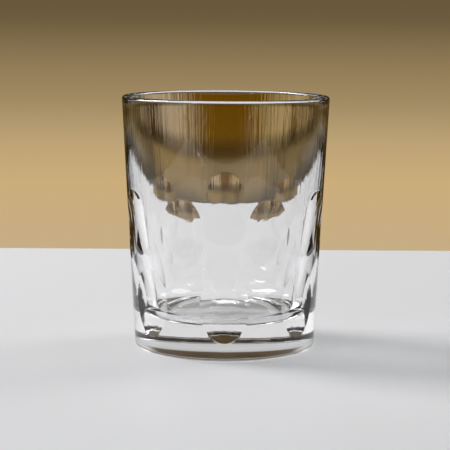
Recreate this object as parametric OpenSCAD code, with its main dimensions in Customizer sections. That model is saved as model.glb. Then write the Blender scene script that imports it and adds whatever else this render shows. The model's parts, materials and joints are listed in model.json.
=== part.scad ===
// Cut-crystal tumbler of double old-fashioned size, one solid piece of clear glass.
// Origin: centre of the plane that the glass stands on. +Z up, millimetres.
// The middle oval of the lower row faces -Y.

/* [Body] */
// Height from the table to the top of the rim
glass_h = 100; // [85:1:120]
// Outside diameter of the tapered wall at the height of the rim
rim_d = 82.4; // [74:0.2:96]
// Outside diameter of the tapered wall carried down to the table
base_d = 72; // [64:0.2:82]
// Thickness of the wall at the rim, which is also the width of its rounded lip
rim_wall = 2.4; // [1.8:0.1:3]
// Thickness of the wall where it meets the solid base
low_wall = 10; // [8:0.2:12]
// How late the wall thickens on its way down: 1 is a straight taper, and more keeps the upper wall thin
wall_swell = 1.5; // [1:0.1:3]
// Thickness of the solid base at its centre
base_t = 12.5; // [9:0.5:18]

/* [Rounding] */
// Radius between the inner wall and the inner floor
floor_corner_r = 7; // [3:0.5:12]
// Radius of the outer edge at the foot
foot_edge_r = 1.5; // [1:0.25:4]

/* [Foot] */
// Width of the flat ring that the glass stands on
ring_w = 4.5; // [2:0.5:12]
// Depth at its centre of the shallow hollow ground inside that ring
hollow_t = 0.3; // [0.2:0.1:1.5]

/* [Oval cuts] */
// Number of ovals in each row
ovals = 7; // [5:1:8]
// Width of an oval, measured straight across
oval_w = 19; // [14:0.5:20]
// Height of an oval, measured along the wall
oval_h = 27; // [22:0.5:30]
// Clear wall under the lower row, from the table to the ovals
lower_gap = 7.3; // [6:0.1:10]
// Clear height between the two rows, which stand half a step apart
row_gap = 1.2; // [0.5:0.1:4]

/* [Hidden] */

round_fn = 128;
arc_steps = 14;
bore_steps = 20;
glass_colour = [0.86, 0.90, 0.90, 0.45];

rim_r = rim_d / 2;
base_r = base_d / 2;
wall_lean = atan((rim_r - base_r) / glass_h);
lip_r = rim_wall / 2;

// Outside radius of the tapered wall at height z.
function outer_r(z) = base_r + (rim_r - base_r) * z / glass_h;

// Points of an arc about a centre, from one angle to another.
function arc(centre, r, from, to) =
    [for (i = [0 : arc_steps]) let (a = from + (to - from) * i / arc_steps)
        centre + r * [cos(a), sin(a)]];

// Centre of the lip, a round edge as wide as the wall: tangent to the outer wall.
lip_centre = [
    outer_r(glass_h - lip_r) - lip_r / cos(wall_lean),
    glass_h - lip_r
];

// Thickness of the wall at height z: from the rim's, it grows by a power of the share of the way down.
function down_share(z) = (glass_h - z) / (glass_h - base_t);
function wall_t(z) = rim_wall + (low_wall - rim_wall) * pow(down_share(z), wall_swell);

// Radius of the inner wall at height z, and its lean from the axis there.
function bore_r(z) = outer_r(z) - wall_t(z);
function swell_slope(z) =
    wall_swell * (low_wall - rim_wall) * pow(down_share(z), wall_swell - 1) / (glass_h - base_t);
function bore_lean(z) = atan(tan(wall_lean) + swell_slope(z));

// Rows of ovals.
lower_z = lower_gap + oval_h / 2 * cos(wall_lean);
upper_z = lower_z + row_gap + oval_h * cos(wall_lean);

// Centre of the rounded edge at the foot: tangent to the table and to the outer wall.
foot_centre = [
    outer_r(foot_edge_r) - foot_edge_r / cos(wall_lean),
    foot_edge_r
];

// Centre of the inner corner: tangent to the inner floor and to the inner wall.
corner_lean = bore_lean(base_t + floor_corner_r);
bore_low_z = base_t + floor_corner_r * (1 - sin(corner_lean));
corner_centre = [
    bore_r(bore_low_z) - floor_corner_r * cos(corner_lean),
    base_t + floor_corner_r
];

// Points of the inner wall between the lip and the inner corner.
bore_top_z = glass_h - 2 * rim_wall;
bore_points =
    [for (i = [0 : bore_steps - 1]) let (z = bore_top_z + (bore_low_z - bore_top_z) * i / bore_steps)
        [bore_r(z), z]];

// The blown shape before cutting: half a section, turned about the axis.
module blank() {
    rotate_extrude($fn = round_fn)
        polygon(concat(
            [[0, 0]],
            arc(foot_centre, foot_edge_r, -90, -wall_lean),
            arc(lip_centre, lip_r, -wall_lean, 180 - wall_lean),
            bore_points,
            arc(corner_centre, floor_corner_r, -corner_lean, -90),
            [[0, base_t]]
        ));
}

// Ball whose cap is the shallow hollow under the base.
module foot_hollow() {
    hollow_r = foot_centre[0] - ring_w;
    ball_r = (pow(hollow_r, 2) + pow(hollow_t, 2)) / (2 * hollow_t);
    translate([0, 0, hollow_t - ball_r])
        sphere(r = ball_r, $fn = round_fn);
}

// One oval: the bite of a flat-edged grinding wheel held square to the wall at height z.
module oval_cut(z) {
    r = outer_r(z);
    bite = r - sqrt(pow(r, 2) - pow(oval_w / 2, 2));
    wheel_r = (pow(oval_h / 2, 2) + pow(bite, 2)) / (2 * bite);
    translate([0, -r, z])
        rotate([wall_lean, 0, 0])
            translate([0, bite - wheel_r, 0])
                rotate([0, 90, 0])
                    cylinder(r = wheel_r, h = oval_w * 1.5, center = true, $fn = round_fn);
}

// A row of ovals evenly round the glass, turned by part of a step.
module oval_row(z, turn) {
    for (i = [0 : ovals - 1])
        rotate([0, 0, (i + turn) * 360 / ovals])
            oval_cut(z);
}

module glass_body() {
    color(glass_colour)
        difference() {
            blank();
            foot_hollow();
            oval_row(lower_z, 0);
            oval_row(upper_z, 0.5);
        }
}

glass_body();
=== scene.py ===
import json
import math

import bpy
import numpy as np
from mathutils import Matrix, Vector


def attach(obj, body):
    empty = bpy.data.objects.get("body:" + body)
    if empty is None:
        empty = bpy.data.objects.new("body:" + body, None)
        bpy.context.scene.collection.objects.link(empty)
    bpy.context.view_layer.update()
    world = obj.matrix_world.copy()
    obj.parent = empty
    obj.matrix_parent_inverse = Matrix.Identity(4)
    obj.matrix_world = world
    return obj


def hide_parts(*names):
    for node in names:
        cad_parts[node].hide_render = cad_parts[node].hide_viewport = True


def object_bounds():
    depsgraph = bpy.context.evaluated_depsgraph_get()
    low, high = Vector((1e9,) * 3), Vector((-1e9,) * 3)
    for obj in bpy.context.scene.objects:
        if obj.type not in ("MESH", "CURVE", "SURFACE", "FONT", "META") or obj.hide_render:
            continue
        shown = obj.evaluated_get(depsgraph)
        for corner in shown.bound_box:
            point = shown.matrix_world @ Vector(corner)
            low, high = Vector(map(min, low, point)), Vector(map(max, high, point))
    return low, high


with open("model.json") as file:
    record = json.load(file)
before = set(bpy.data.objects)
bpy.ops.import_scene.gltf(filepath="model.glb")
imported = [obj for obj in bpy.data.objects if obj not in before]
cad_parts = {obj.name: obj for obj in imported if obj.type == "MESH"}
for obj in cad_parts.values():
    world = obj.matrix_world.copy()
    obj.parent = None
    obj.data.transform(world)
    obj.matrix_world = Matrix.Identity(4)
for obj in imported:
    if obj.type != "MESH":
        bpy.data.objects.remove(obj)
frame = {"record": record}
cad_low, cad_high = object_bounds()


# ------------------------------------------------------------------ the glass
# One piece of clear crystal, blown thick at the foot. Its rim is melted round, and two rows of flat
# ovals are ground into the wall with a wheel, then polished in acid. Sizes are in metres.
MOUNTS = {m["name"]: m["pos_m"] for m in frame["record"]["mounts"]}
GLASS_H = cad_high.z
RIM_R = 0.0412
BASE_R = 0.0360
RIM_WALL = 0.0024
LOW_WALL = 0.0100
WALL_SWELL = 1.5
BASE_T = MOUNTS["inner_floor"][2]
CORNER_R = 0.007
FOOT_EDGE_R = 0.0015
RING_W = 0.0045
HOLLOW_T = 0.0003
OVALS = 7
OVAL_W = 0.019
OVAL_H = 0.027
LOWER_GAP = 0.0073
ROW_GAP = 0.0012
EDGE_SOFT = 0.00004

STEP = 2 * math.pi / OVALS
CELL = 56                       # grid lines across one oval's share of the wall
OUTLINE_AT = 0.72               # how far out in that share the oval's outline lies
CROWD_IN = 1.6                  # how closely the lines crowd up to the outline from inside it
CROWD_OUT = 1.8                 # and from outside it
AROUND = OVALS * CELL
LEAN = math.atan((RIM_R - BASE_R) / GLASS_H)


def outer_r(z):
    """Radius of the uncut wall at height z: a straight taper from the table to the rim."""
    return BASE_R + (RIM_R - BASE_R) * z / GLASS_H


def oval_depth(z, z_mid):
    """Distance from the axis to the flat of an oval at height z.

    The grinding wheel is a cylinder lying level outside the glass, so the flat is the near side of a
    circle about the wheel's middle.
    """
    r = outer_r(z_mid)
    bite = r - math.sqrt(r ** 2 - (OVAL_W / 2) ** 2)
    wheel_r = ((OVAL_H / 2) ** 2 + bite ** 2) / (2 * bite)
    out = r + (wheel_r - bite) * math.cos(LEAN)
    up = z_mid - (wheel_r - bite) * math.sin(LEAN)
    return out - np.sqrt(wheel_r ** 2 - (z - up) ** 2)


def cut_wall_r(turn, z, z_mid):
    """Radius of the wall at an angle from the middle of an oval, at height z.

    The lower of the taper and the oval's plane, whose radius is its distance over the cosine of the
    angle. A hyperbola blends the two, so the edge between them is a little round.
    """
    plain = outer_r(z)
    flat = oval_depth(z, z_mid) / np.cos(turn)
    return (plain + flat - np.sqrt((plain - flat) ** 2 + EDGE_SOFT ** 2)) / 2


def oval_cells(z_low, z_high, z_mid):
    """Angles and heights of a grid over one oval's share of the wall, lined up with the oval's edge.

    a and b run from -1 to 1 across the share. Squares about its middle become ovals of the same
    shape as the cut, crowded together at the cut's edge, and outside it they turn back to squares.
    """
    a, b = np.meshgrid(np.linspace(-1, 1, CELL + 1)[:-1], np.linspace(-1, 1, CELL + 1))
    ring = np.maximum(np.abs(a), np.abs(b))
    side = np.abs(a) >= np.abs(b)
    safe_a = np.where(a == 0, 1, a)
    safe_b = np.where(b == 0, 1, b)
    around = np.where(
        side,
        np.where(a > 0, 0, math.pi) + math.pi / 4 * b / safe_a,
        np.where(b > 0, 0.5, 1.5) * math.pi - math.pi / 4 * a / safe_b,
    )
    half_h = OVAL_H / 2 * math.cos(LEAN)
    edge_z = z_mid + half_h * np.sin(around)
    edge_cos = np.clip(oval_depth(edge_z, z_mid) / outer_r(edge_z), -1, 1)
    edge_turn = np.sign(np.cos(around)) * np.arccos(edge_cos)
    inner = 1 - (1 - np.clip(ring / OUTLINE_AT, 0, 1)) ** CROWD_IN
    outer = np.clip((ring - OUTLINE_AT) / (1 - OUTLINE_AT), 0, 1) ** CROWD_OUT
    border = np.where(ring == 0, 1, ring)
    border_turn = a / border * STEP / 2
    border_z = (z_low + z_high) / 2 + b / border * (z_high - z_low) / 2
    turn = inner * edge_turn + outer * (border_turn - edge_turn)
    z = z_mid + inner * (edge_z - z_mid) + outer * (border_z - edge_z)
    return turn, z


def arc(centre, r, start, end, count):
    """Radii and heights of points on an arc about a centre, from one angle to another."""
    t = np.radians(np.linspace(start, end, count))
    return np.column_stack([centre[0] + r * np.cos(t), centre[1] + r * np.sin(t)])


def between(p, q, count):
    """Radii and heights of points on a straight line, without its two ends."""
    t = np.linspace(0, 1, count + 2)[1:-1, None]
    return (1 - t) * np.array(p) + t * np.array(q)


lower_z = LOWER_GAP + OVAL_H / 2 * math.cos(LEAN)
upper_z = lower_z + ROW_GAP + OVAL_H * math.cos(LEAN)
rows_low = LOWER_GAP - ROW_GAP / 2
rows_mid = (lower_z + upper_z) / 2
rows_high = 2 * rows_mid - rows_low

lean = math.degrees(LEAN)
lip_r = RIM_WALL / 2
lip = (outer_r(GLASS_H - lip_r) - lip_r / math.cos(LEAN), GLASS_H - lip_r)


def wall_t(z):
    """Thickness of the wall at height z.

    From the rim's, it grows by a power of the share of the way down to the inner floor.
    """
    share = (GLASS_H - z) / (GLASS_H - BASE_T)
    return RIM_WALL + (LOW_WALL - RIM_WALL) * share ** WALL_SWELL


def bore_lean(z):
    """Lean of the inner wall from the axis at height z, in radians.

    Its tangent is that of the outer wall's lean plus how fast the wall thickens on the way down.
    """
    share = (GLASS_H - z) / (GLASS_H - BASE_T)
    swell = WALL_SWELL * (LOW_WALL - RIM_WALL) * share ** (WALL_SWELL - 1) / (GLASS_H - BASE_T)
    return np.arctan(math.tan(LEAN) + swell)


corner_lean = bore_lean(BASE_T + CORNER_R)
bore_low_z = BASE_T + CORNER_R * (1 - math.sin(corner_lean))
corner = (
    outer_r(bore_low_z) - wall_t(bore_low_z) - CORNER_R * math.cos(corner_lean),
    BASE_T + CORNER_R,
)
BORE_ROWS = 26
bore_z = np.linspace(GLASS_H - 2 * RIM_WALL, bore_low_z, BORE_ROWS + 1)[:-1]
bore = np.column_stack([outer_r(bore_z) - wall_t(bore_z), bore_z])
foot = (outer_r(FOOT_EDGE_R) - FOOT_EDGE_R / math.cos(LEAN), FOOT_EDGE_R)
hollow_r = foot[0] - RING_W

HOLLOW_ROWS = 10                # rows of points over each part of the section
RING_ROWS = 3
FOOT_EDGE_ROWS = 12
SKIRT_ROWS = 3
SHOULDER_ROWS = 14
LIP_ROWS = 15
CORNER_ROWS = 16
FLOOR_ROWS = 8
hollow = np.linspace(0, hollow_r, HOLLOW_ROWS + 1)[1:]
underside = np.vstack([
    np.column_stack([hollow, HOLLOW_T * (1 - (hollow / hollow_r) ** 2)]),
    between((hollow_r, 0), (foot[0], 0), RING_ROWS),
    arc(foot, FOOT_EDGE_R, -90, -lean, FOOT_EDGE_ROWS),
    between((outer_r(FOOT_EDGE_R), FOOT_EDGE_R), (outer_r(rows_low), rows_low), SKIRT_ROWS),
])
lip_arc = arc(lip, lip_r, -lean, 180 - lean, LIP_ROWS)
corner_arc = arc(corner, CORNER_R, -math.degrees(corner_lean), -90, CORNER_ROWS)
inside = np.vstack([
    between((outer_r(rows_high), rows_high), lip_arc[0], SHOULDER_ROWS),
    lip_arc,
    bore,
    corner_arc,
    between(corner_arc[-1], (0, BASE_T), FLOOR_ROWS),
])


def glass_grid():
    """Points of the whole surface: rows from under the base, up the wall and down inside, by columns."""
    column = np.arange(AROUND)
    angle = -math.pi / 2 - STEP / 2 + column * STEP / CELL
    parts = [(np.repeat(underside[:, :1], AROUND, 1), np.repeat(underside[:, 1:], AROUND, 1),
              np.repeat(angle[None], len(underside), 0))]
    for z_low, z_high, z_mid, shift in (
        (rows_low, rows_mid, lower_z, 0),
        (rows_mid, rows_high, upper_z, CELL // 2),
    ):
        turn, z = oval_cells(z_low, z_high, z_mid)
        place = (column + shift) % CELL
        middle = angle - (place - CELL / 2) * STEP / CELL
        turn = turn[:, place]
        z = z[:, place]
        keep = slice(0, -1) if shift == 0 else slice(0, None)
        parts.append((cut_wall_r(turn, z, z_mid)[keep], z[keep], (middle + turn)[keep]))
    parts.append((np.repeat(inside[:, :1], AROUND, 1), np.repeat(inside[:, 1:], AROUND, 1),
                  np.repeat(angle[None], len(inside), 0)))
    r, z, angle = (np.vstack(p) for p in zip(*parts))
    return np.stack([r * np.cos(angle), r * np.sin(angle), z], axis=-1)


def closed_mesh(name, grid, low_pole, high_pole):
    """A mesh of a grid that closes round its columns, with a fan of triangles at each end."""
    rows, cols = grid.shape[:2]
    points = np.vstack([grid.reshape(-1, 3), [low_pole], [high_pole]])
    here = np.arange(rows * cols).reshape(rows, cols)
    right = np.roll(here, -1, axis=1)
    quads = np.stack([here[:-1], right[:-1], right[1:], here[1:]], axis=-1).reshape(-1, 4)
    low_fan = np.column_stack([np.full(cols, rows * cols), right[0], here[0]])
    high_fan = np.column_stack([np.full(cols, rows * cols + 1), here[-1], right[-1]])
    faces = quads.tolist() + low_fan.tolist() + high_fan.tolist()
    mesh = bpy.data.meshes.new(name)
    mesh.from_pydata(points.tolist(), [], faces)
    mesh.shade_smooth()
    mesh.validate()
    return mesh


surface = glass_grid()
glass = bpy.data.objects.new("glass", closed_mesh("glass", surface, (0, 0, HOLLOW_T), (0, 0, BASE_T)))
bpy.context.scene.collection.objects.link(glass)

CUT_FULL = 0.0004


def ground_share(grid):
    """How far the wheel cut below the taper at each point, as a share of CUT_FULL and no more than 1."""
    radius = np.hypot(grid[..., 0], grid[..., 1])
    depth = np.clip((outer_r(grid[..., 2]) - radius) / CUT_FULL, 0, 1)
    outside = np.arange(len(grid)) < len(grid) - len(inside)
    above_foot = grid[..., 2] > FOOT_EDGE_R
    return np.append(np.where(outside[:, None] & above_foot, depth, 0).ravel(), [0, 0])


ground = glass.data.attributes.new("ground", "FLOAT", "POINT")
ground.data.foreach_set("value", ground_share(surface).astype(np.float32))


def new_group(name, inputs, outputs):
    """An empty shader node group with float or vector sockets of these names."""
    group = bpy.data.node_groups.new(name, "ShaderNodeTree")
    for sockets, way in ((inputs, "INPUT"), (outputs, "OUTPUT")):
        for socket, kind in sockets:
            group.interface.new_socket(name=socket, in_out=way, socket_type=kind)
    group.nodes.new("NodeGroupInput").name = "in"
    group.nodes.new("NodeGroupOutput").name = "out"
    return group


def math_node(tree, operation, first, second=0.0, clamp=False):
    """A Math node whose two inputs are numbers or other nodes' outputs."""
    node = tree.nodes.new("ShaderNodeMath")
    node.operation = operation
    node.use_clamp = clamp
    for socket, value in zip(node.inputs, (first, second)):
        if isinstance(value, (int, float)):
            socket.default_value = value
        else:
            tree.links.new(value, socket)
    return node.outputs[0]


def drawn_lines_and_fold_shade():
    """Group: height of the faint upright lines that drawing the hot wall leaves in it. The backdrop
    uses the same noise for the painted light and shade of upright folds.

    The place round the axis is the flat part of the position, made one unit long, so noise on it
    with almost none of the height gives lines that follow the wall up its taper. They grow from
    nothing at the height From to full at To.
    """
    group = new_group(
        "drawn_lines_and_fold_shade",
        [("Position", "NodeSocketVector"), ("Lines", "NodeSocketFloat"), ("Wander", "NodeSocketFloat"),
         ("From", "NodeSocketFloat"), ("To", "NodeSocketFloat")],
        [("Height", "NodeSocketFloat")],
    )
    nodes, links = group.nodes, group.links
    flat = nodes.new("ShaderNodeVectorMath")
    flat.operation = "MULTIPLY"
    flat.inputs[1].default_value = (1, 1, 0)
    links.new(nodes["in"].outputs["Position"], flat.inputs[0])
    turn = nodes.new("ShaderNodeVectorMath")
    turn.operation = "NORMALIZE"
    links.new(flat.outputs[0], turn.inputs[0])
    split = nodes.new("ShaderNodeSeparateXYZ")
    links.new(nodes["in"].outputs["Position"], split.inputs[0])
    rise = nodes.new("ShaderNodeCombineXYZ")
    links.new(
        math_node(group, "MULTIPLY", split.outputs["Z"], nodes["in"].outputs["Wander"]),
        rise.inputs["Z"],
    )
    place = nodes.new("ShaderNodeVectorMath")
    place.operation = "ADD"
    links.new(turn.outputs[0], place.inputs[0])
    links.new(rise.outputs[0], place.inputs[1])
    noise = nodes.new("ShaderNodeTexNoise")
    noise.inputs["Detail"].default_value = 3
    noise.inputs["Roughness"].default_value = 0.55
    links.new(place.outputs[0], noise.inputs["Vector"])
    links.new(nodes["in"].outputs["Lines"], noise.inputs["Scale"])
    fade = nodes.new("ShaderNodeMapRange")
    fade.interpolation_type = "SMOOTHSTEP"
    links.new(split.outputs["Z"], fade.inputs["Value"])
    links.new(nodes["in"].outputs["From"], fade.inputs["From Min"])
    links.new(nodes["in"].outputs["To"], fade.inputs["From Max"])
    faded = math_node(group, "MULTIPLY", noise.outputs[0], fade.outputs[0])
    links.new(faded, nodes["out"].inputs["Height"])
    return group


WHEEL_LINES = 0.1               # height of the wheel lines for 1 of the ripples


def polished_ripple():
    """Group: height of the ripples and fine wheel lines that polishing leaves on a ground face.

    Coarse noise gives the ripples. Fine noise stretched level round the glass gives the lines, and
    their height is a small share of the ripples'.
    """
    group = new_group(
        "polished_ripple",
        [("Position", "NodeSocketVector"), ("Ripple", "NodeSocketFloat"), ("Lines", "NodeSocketFloat")],
        [("Height", "NodeSocketFloat")],
    )
    nodes, links = group.nodes, group.links
    soft = nodes.new("ShaderNodeTexNoise")
    soft.inputs["Detail"].default_value = 1.5
    soft.inputs["Distortion"].default_value = 0.6
    links.new(nodes["in"].outputs["Position"], soft.inputs["Vector"])
    links.new(nodes["in"].outputs["Ripple"], soft.inputs["Scale"])
    stretch = nodes.new("ShaderNodeMapping")
    stretch.inputs["Scale"].default_value = (0.15, 0.15, 1)
    links.new(nodes["in"].outputs["Position"], stretch.inputs["Vector"])
    fine = nodes.new("ShaderNodeTexNoise")
    fine.inputs["Detail"].default_value = 2
    links.new(stretch.outputs[0], fine.inputs["Vector"])
    links.new(nodes["in"].outputs["Lines"], fine.inputs["Scale"])
    faint = math_node(group, "MULTIPLY", fine.outputs[0], WHEEL_LINES)
    height = math_node(group, "ADD", soft.outputs[0], faint)
    links.new(height, nodes["out"].inputs["Height"])
    return group


SCUFF_FROM = 0.45               # noise below this leaves no scuff
SCUFF_CONTRAST = 4.0


def foot_wear():
    """Group: 0 on clean glass to 1 on the scuffed ring under the foot.

    The share is full at the table and gone at Reach above it, and broken up by noise of several
    sizes, because a glass wears in patches where it is slid about.
    """
    group = new_group(
        "foot_wear",
        [("Position", "NodeSocketVector"), ("Reach", "NodeSocketFloat"), ("Scuffs", "NodeSocketFloat")],
        [("Wear", "NodeSocketFloat")],
    )
    nodes, links = group.nodes, group.links
    split = nodes.new("ShaderNodeSeparateXYZ")
    links.new(nodes["in"].outputs["Position"], split.inputs[0])
    near = math_node(group, "DIVIDE", split.outputs["Z"], nodes["in"].outputs["Reach"])
    near = math_node(group, "SUBTRACT", 1.0, near, clamp=True)
    scuffs = nodes.new("ShaderNodeTexNoise")
    scuffs.inputs["Detail"].default_value = 4
    scuffs.inputs["Roughness"].default_value = 0.7
    links.new(nodes["in"].outputs["Position"], scuffs.inputs["Vector"])
    links.new(nodes["in"].outputs["Scuffs"], scuffs.inputs["Scale"])
    patch = math_node(group, "SUBTRACT", scuffs.outputs[0], SCUFF_FROM)
    patch = math_node(group, "MULTIPLY", patch, SCUFF_CONTRAST, clamp=True)
    links.new(math_node(group, "MULTIPLY", near, patch), nodes["out"].inputs["Wear"])
    return group


SCUFF_ROUGHNESS = 0.06
SHADOW_LIGHT = (0.47, 0.48, 0.49, 1)    # share of the lamps' light that passes into the shadow


def clear_crystal():
    """Clear lead-free crystal: drawn lines in the wall, polished ripples in the ovals, a scuffed foot.

    Shadow rays pass partly through it, in place of the light that thick glass gathers in its shadow.
    """
    material = bpy.data.materials.new("clear_crystal")
    material.use_nodes = True
    nodes, links = material.node_tree.nodes, material.node_tree.links
    shader = nodes["Principled BSDF"]
    shader.inputs["Base Color"].default_value = (1, 1, 1, 1)
    shader.inputs["IOR"].default_value = 1.54
    shader.inputs["Transmission Weight"].default_value = 1.0
    coord = nodes.new("ShaderNodeTexCoord")

    lines = nodes.new("ShaderNodeGroup")
    lines.node_tree = drawn_lines_and_fold_shade()
    lines.inputs["Lines"].default_value = 19.0
    lines.inputs["Wander"].default_value = 0.6
    lines.inputs["From"].default_value = 0.045
    lines.inputs["To"].default_value = 0.070
    links.new(coord.outputs["Object"], lines.inputs["Position"])
    wall_bump = nodes.new("ShaderNodeBump")
    wall_bump.inputs["Strength"].default_value = 1.0
    wall_bump.inputs["Distance"].default_value = 0.00004
    links.new(lines.outputs["Height"], wall_bump.inputs["Height"])

    ripple = nodes.new("ShaderNodeGroup")
    ripple.node_tree = polished_ripple()
    ripple.inputs["Ripple"].default_value = 180.0
    ripple.inputs["Lines"].default_value = 2600.0
    links.new(coord.outputs["Object"], ripple.inputs["Position"])
    cut = nodes.new("ShaderNodeAttribute")
    cut.attribute_name = "ground"
    face_bump = nodes.new("ShaderNodeBump")
    face_bump.inputs["Strength"].default_value = 1.0
    face_bump.inputs["Distance"].default_value = 0.00006
    links.new(
        math_node(material.node_tree, "MULTIPLY", ripple.outputs["Height"], cut.outputs["Fac"]),
        face_bump.inputs["Height"],
    )
    links.new(wall_bump.outputs["Normal"], face_bump.inputs["Normal"])
    links.new(face_bump.outputs["Normal"], shader.inputs["Normal"])

    wear = nodes.new("ShaderNodeGroup")
    wear.node_tree = foot_wear()
    wear.inputs["Reach"].default_value = 0.00006
    wear.inputs["Scuffs"].default_value = 1800.0
    links.new(coord.outputs["Object"], wear.inputs["Position"])
    links.new(
        math_node(material.node_tree, "MULTIPLY", wear.outputs["Wear"], SCUFF_ROUGHNESS),
        shader.inputs["Roughness"],
    )

    path = nodes.new("ShaderNodeLightPath")
    clear = nodes.new("ShaderNodeBsdfTransparent")
    clear.inputs["Color"].default_value = SHADOW_LIGHT
    mix = nodes.new("ShaderNodeMixShader")
    links.new(path.outputs["Is Shadow Ray"], mix.inputs["Fac"])
    links.new(shader.outputs[0], mix.inputs[1])
    links.new(clear.outputs[0], mix.inputs[2])
    links.new(mix.outputs[0], nodes["Material Output"].inputs["Surface"])
    return material


glass.data.materials.append(clear_crystal())

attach(glass, "root")
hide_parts("glass_body")


# ------------------------------------------------------------------ the table
# Stage only: a plain pale stone table top, whose far edge is about 25 cm behind the glass. Its near
# edge and its sides set where the white ends in the upper wall. It lies just clear of the foot.
TABLE_X = 0.20
TABLE_NEAR = -0.213
TABLE_FAR = 0.249
TABLE_Z = -0.00005

table_mesh = bpy.data.meshes.new("table_top")
table_mesh.from_pydata(
    [
        (-TABLE_X, TABLE_NEAR, TABLE_Z),
        (TABLE_X, TABLE_NEAR, TABLE_Z),
        (TABLE_X, TABLE_FAR, TABLE_Z),
        (-TABLE_X, TABLE_FAR, TABLE_Z),
    ],
    [],
    [(0, 1, 2, 3)],
)
table_top = bpy.data.objects.new("table_top", table_mesh)
bpy.context.scene.collection.objects.link(table_top)
pale = bpy.data.materials.new("pale_stone")
pale.use_nodes = True
stone = pale.node_tree.nodes["Principled BSDF"]
stone.inputs["Base Color"].default_value = (0.80, 0.80, 0.81, 1)
stone.inputs["Roughness"].default_value = 0.5
table_mesh.materials.append(pale)


# ------------------------------------------------------------------ the backdrop
# Stage only. The camera sees a plain tan backdrop, lighter low down. The glass sees darker
# surroundings: browns with upright folds in painted light and shade, a curtain straight behind it
# whose folds are painted light and shade and whose low part is painted shade, and two level strips
# of soft light. Colours go by elevation, and the curtain's by turn, in degrees seen from the glass.
BACKDROP = (
    (-9.0, (0.560, 0.420, 0.240)),
    (-6.2, (0.600, 0.420, 0.200)),
    (-4.7, (0.500, 0.360, 0.180)),
    (-3.3, (0.360, 0.260, 0.130)),
    (-1.8, (0.270, 0.190, 0.090)),
    (-0.3, (0.150, 0.105, 0.048)),
    (4.0, (0.090, 0.060, 0.028)),
)
SURROUNDINGS = (
    (-14.0, (0.030, 0.020, 0.008)),
    (-12.8, (0.120, 0.090, 0.050)),
    (-12.0, (0.220, 0.155, 0.075)),
    (-10.4, (0.210, 0.140, 0.055)),
    (-9.6, (0.090, 0.055, 0.016)),
    (-6.5, (0.060, 0.035, 0.008)),
    (-3.0, (0.120, 0.075, 0.025)),
    (1.0, (0.080, 0.047, 0.015)),
    (9.6, (0.080, 0.047, 0.015)),
    (10.2, (0.480, 0.480, 0.460)),
    (11.5, (0.560, 0.570, 0.580)),
    (12.9, (0.500, 0.500, 0.480)),
    (13.3, (0.060, 0.034, 0.006)),
    (19.5, (0.060, 0.034, 0.008)),
    (20.5, (0.850, 0.870, 0.900)),
    (24.0, (0.850, 0.870, 0.900)),
    (25.0, (0.080, 0.055, 0.030)),
)
# The curtain's own browns across its width, with its folds painted in as bands of light and shade.
CURTAIN = (
    (-12.4, (0.040, 0.022, 0.004)),
    (-11.6, (0.050, 0.028, 0.005)),
    (-10.6, (0.240, 0.170, 0.090)),
    (-8.8, (0.300, 0.220, 0.125)),
    (-8.0, (0.030, 0.012, 0.000)),
    (-6.4, (0.025, 0.010, 0.000)),
    (-5.4, (0.340, 0.250, 0.150)),
    (-3.2, (0.480, 0.360, 0.215)),
    (-2.6, (0.250, 0.170, 0.080)),
    (-1.8, (0.230, 0.150, 0.060)),
    (-1.5, (0.130, 0.056, 0.000)),
    (1.8, (0.120, 0.050, 0.000)),
    (2.2, (0.260, 0.170, 0.065)),
    (3.4, (0.300, 0.200, 0.080)),
    (3.9, (0.430, 0.300, 0.130)),
    (5.2, (0.380, 0.260, 0.110)),
    (5.8, (0.080, 0.042, 0.005)),
    (7.0, (0.080, 0.042, 0.005)),
    (7.8, (0.320, 0.220, 0.095)),
    (10.0, (0.260, 0.175, 0.075)),
    (11.2, (0.050, 0.028, 0.005)),
    (12.4, (0.040, 0.022, 0.004)),
)
CURTAIN_TURN = 12.5             # half the curtain's width
CURTAIN_MIDDLE = -6.6           # elevation of its middle
CURTAIN_HALF = 3.2              # half its height
CURTAIN_SQUARE = 4.0            # power that makes its outline nearly square
CURTAIN_INNER = 0.4             # it is full up to here and gone at the next, where 1 is its outline
CURTAIN_OUTER = 1.4
GLOOM_LOW = -9.3                # under this elevation the curtain is in shade
GLOOM_HIGH = -7.8               # and above this it is not
GLOOM_SHADE = 0.4
# Painted light and shade of upright folds, multiplied into the colour of the surroundings.
PLEATS = 7.0
PLEAT_DARK = (0.36, 0.4)        # noise in the folds, and the shade that it gives
PLEAT_LIGHT = (0.62, 1.25)
PLEATS_FULL = 2                 # the folds fade out between these elevations
PLEATS_GONE = 5
FILL_COLOUR = (0.95, 0.97, 1.0)
FILL_STRENGTH = 0.22


def colour_ramp(tree, fac, stops, place):
    """A ColorRamp node of these stops, each set where place() says."""
    ramp = tree.nodes.new("ShaderNodeValToRGB")
    tree.links.new(fac, ramp.inputs[0])
    elements = ramp.color_ramp.elements
    for at, colour in stops:
        elements.new(place(at)).color = (*colour, 1)
    elements.remove(elements[0])
    elements.remove(elements[-1])
    return ramp.outputs[0]


def mixed(tree, kind, fac, first, second):
    """A Mix node for two colours, mixed or multiplied by a share."""
    node = tree.nodes.new("ShaderNodeMix")
    node.data_type = "RGBA"
    node.blend_type = kind
    for socket, value in (("Factor", fac), ("A", first), ("B", second)):
        if isinstance(value, float):
            node.inputs[socket].default_value = value
        else:
            tree.links.new(value, node.inputs[socket])
    return node.outputs["Result"]


def smooth_range(tree, value, low, high, to_low=0.0, to_high=1.0):
    """A Map Range node that turns low into to_low and high into to_high, smoothly and no further."""
    node = tree.nodes.new("ShaderNodeMapRange")
    node.interpolation_type = "SMOOTHSTEP"
    node.inputs["From Min"].default_value = low
    node.inputs["From Max"].default_value = high
    node.inputs["To Min"].default_value = to_low
    node.inputs["To Max"].default_value = to_high
    tree.links.new(value, node.inputs["Value"])
    return node.outputs[0]


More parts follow.
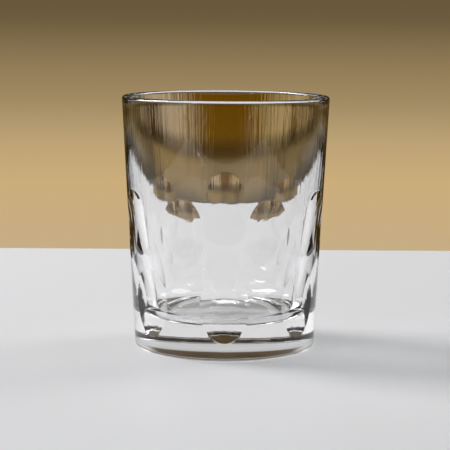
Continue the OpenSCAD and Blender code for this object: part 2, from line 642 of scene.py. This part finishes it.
def stage_light(tree, colour, strength=1.0):
    """A Background shader of one colour, or of another node's colour."""
    node = tree.nodes.new("ShaderNodeBackground")
    node.inputs["Strength"].default_value = strength
    if isinstance(colour, tuple):
        node.inputs["Color"].default_value = (*colour, 1)
    else:
        tree.links.new(colour, node.inputs["Color"])
    return node.outputs[0]


def choose(tree, share, first, second):
    """A Mix Shader node: the first shader where the share is 0, the second where it is 1."""
    node = tree.nodes.new("ShaderNodeMixShader")
    for socket, value in zip(node.inputs, (share, first, second)):
        tree.links.new(value, socket)
    return node.outputs[0]


world = bpy.data.worlds.new("backdrop")
bpy.context.scene.world = world
world.use_nodes = True
tree = world.node_tree
tree.nodes.remove(tree.nodes["Background"])
toward = tree.nodes.new("ShaderNodeTexCoord").outputs["Generated"]
split = tree.nodes.new("ShaderNodeSeparateXYZ")
tree.links.new(toward, split.inputs[0])
height = math_node(tree, "ADD", split.outputs["Z"], 0.5)


def height_at(degrees):
    """Height of a direction of unit length at this elevation: the sine of the angle."""
    return math.sin(math.radians(degrees))


def at_elevation(degrees):
    """Place in a ramp over the direction's height, which runs from -0.5 to 0.5."""
    return height_at(degrees) + 0.5


def at_turn(degrees):
    """Place in a ramp over the curtain's width, with straight behind the glass in its middle."""
    return degrees / (2 * CURTAIN_TURN) + 0.5


plain = colour_ramp(tree, height, BACKDROP, at_elevation)
surroundings = colour_ramp(tree, height, SURROUNDINGS, at_elevation)

# Painted light and shade of the folds: noise in upright lines makes the surroundings darker or lighter,
# up to a few degrees above level.
fold_shade_noise = tree.nodes.new("ShaderNodeGroup")
fold_shade_noise.node_tree = bpy.data.node_groups["drawn_lines_and_fold_shade"]
fold_shade_noise.inputs["Lines"].default_value = PLEATS
fold_shade_noise.inputs["Wander"].default_value = 0.0
fold_shade_noise.inputs["From"].default_value = -2.0
fold_shade_noise.inputs["To"].default_value = -1.5
tree.links.new(toward, fold_shade_noise.inputs["Position"])
shade = smooth_range(
    tree, fold_shade_noise.outputs["Height"], PLEAT_DARK[0], PLEAT_LIGHT[0], PLEAT_DARK[1], PLEAT_LIGHT[1]
)
fold_shade_share = smooth_range(tree, split.outputs["Z"], height_at(PLEATS_GONE), height_at(PLEATS_FULL))
surroundings = mixed(tree, "MULTIPLY", fold_shade_share, surroundings, shade)

# The curtain's colour by turn, its folds painted as light and dark bands, then painted shade below
# GLOOM_LOW.
turn = math_node(tree, "ARCTAN2", split.outputs["X"], split.outputs["Y"])
across = math_node(tree, "DIVIDE", turn, math.radians(2 * CURTAIN_TURN))
folds = colour_ramp(tree, math_node(tree, "ADD", across, 0.5), CURTAIN, at_turn)
up = math_node(tree, "SUBTRACT", split.outputs["Z"], height_at(CURTAIN_MIDDLE))
up = math_node(tree, "ABSOLUTE", math_node(tree, "DIVIDE", up, math.radians(CURTAIN_HALF)))
across = math_node(tree, "ABSOLUTE", math_node(tree, "MULTIPLY", across, 2.0))
away = math_node(
    tree, "ADD",
    math_node(tree, "POWER", across, CURTAIN_SQUARE),
    math_node(tree, "POWER", up, CURTAIN_SQUARE),
)
gloom = smooth_range(
    tree, split.outputs["Z"], height_at(GLOOM_LOW), height_at(GLOOM_HIGH), GLOOM_SHADE
)
folds = mixed(tree, "MULTIPLY", 1.0, folds, gloom)
hung = smooth_range(tree, away, CURTAIN_OUTER, CURTAIN_INNER)
surroundings = mixed(tree, "MIX", hung, surroundings, folds)

path = tree.nodes.new("ShaderNodeLightPath")
through = math_node(
    tree, "ADD", path.outputs["Is Glossy Ray"], path.outputs["Is Transmission Ray"], clamp=True
)
soft_fill = stage_light(tree, FILL_COLOUR, FILL_STRENGTH)
shown = choose(tree, through, soft_fill, stage_light(tree, surroundings))
shown = choose(tree, path.outputs["Is Camera Ray"], shown, stage_light(tree, plain))
tree.links.new(shown, tree.nodes["World Output"].inputs["Surface"])


# ------------------------------------------------------------------ the lamps
# Stage only: a large soft window high on the left, a little behind the glass, and a weaker one on
# the right, so the main shadow falls to the right. A small panel overhead and two narrow strips on
# the camera's side put the bright line on the rim and small glints in the wall.
def lamp(name, place, aim, size, power):
    """A soft rectangular studio lamp that faces a point."""
    light = bpy.data.lights.new(name, "AREA")
    light.shape = "RECTANGLE"
    light.size, light.size_y = size
    light.energy = power
    holder = bpy.data.objects.new(name, light)
    holder.location = place
    holder.rotation_euler = (Vector(aim) - Vector(place)).to_track_quat("-Z", "Y").to_euler()
    bpy.context.scene.collection.objects.link(holder)


lamp("left_window", (-1.5, 0.60, 1.3), (0, 0.1, 0), (0.75, 1.35), 36)
lamp("right_window", (1.3, 0.8, 1.0), (0, 0.1, 0), (0.65, 1.1), 9)
lamp("overhead_panel", (0, 0.35, 1.0), (0, 0, 0.05), (0.6, 0.25), 1.0)
lamp("left_strip", (-0.55, -0.85, 0.45), (0, 0, 0.06), (0.05, 0.3), 0.4)
lamp("right_strip", (1.05, -0.25, 0.45), (0, 0, 0.06), (0.05, 0.3), 0.3)


# ------------------------------------------------------------------ the camera
# Stage only: in front of the middle oval of the lower row, a little above the rim and looking
# slightly down, so the mouth shows as a thin ellipse. Angles are in degrees.
CAMERA_PLACE = (0, -0.620, 0.1333)
CAMERA_DOWN = 7.826
CAMERA_ROLL = 0.38

camera_data = bpy.data.cameras.new("camera")
camera_data.lens = 124.8
camera_data.clip_start = 0.01
camera_data.clip_end = 20
camera = bpy.data.objects.new("camera", camera_data)
camera.location = CAMERA_PLACE
tilt = Matrix.Rotation(math.radians(90 - CAMERA_DOWN), 4, "X")
roll = Matrix.Rotation(math.radians(CAMERA_ROLL), 4, "Z")
camera.rotation_euler = (tilt @ roll).to_euler("XYZ")
bpy.context.scene.collection.objects.link(camera)
bpy.context.scene.camera = camera
bpy.context.scene.view_settings.view_transform = "Standard"
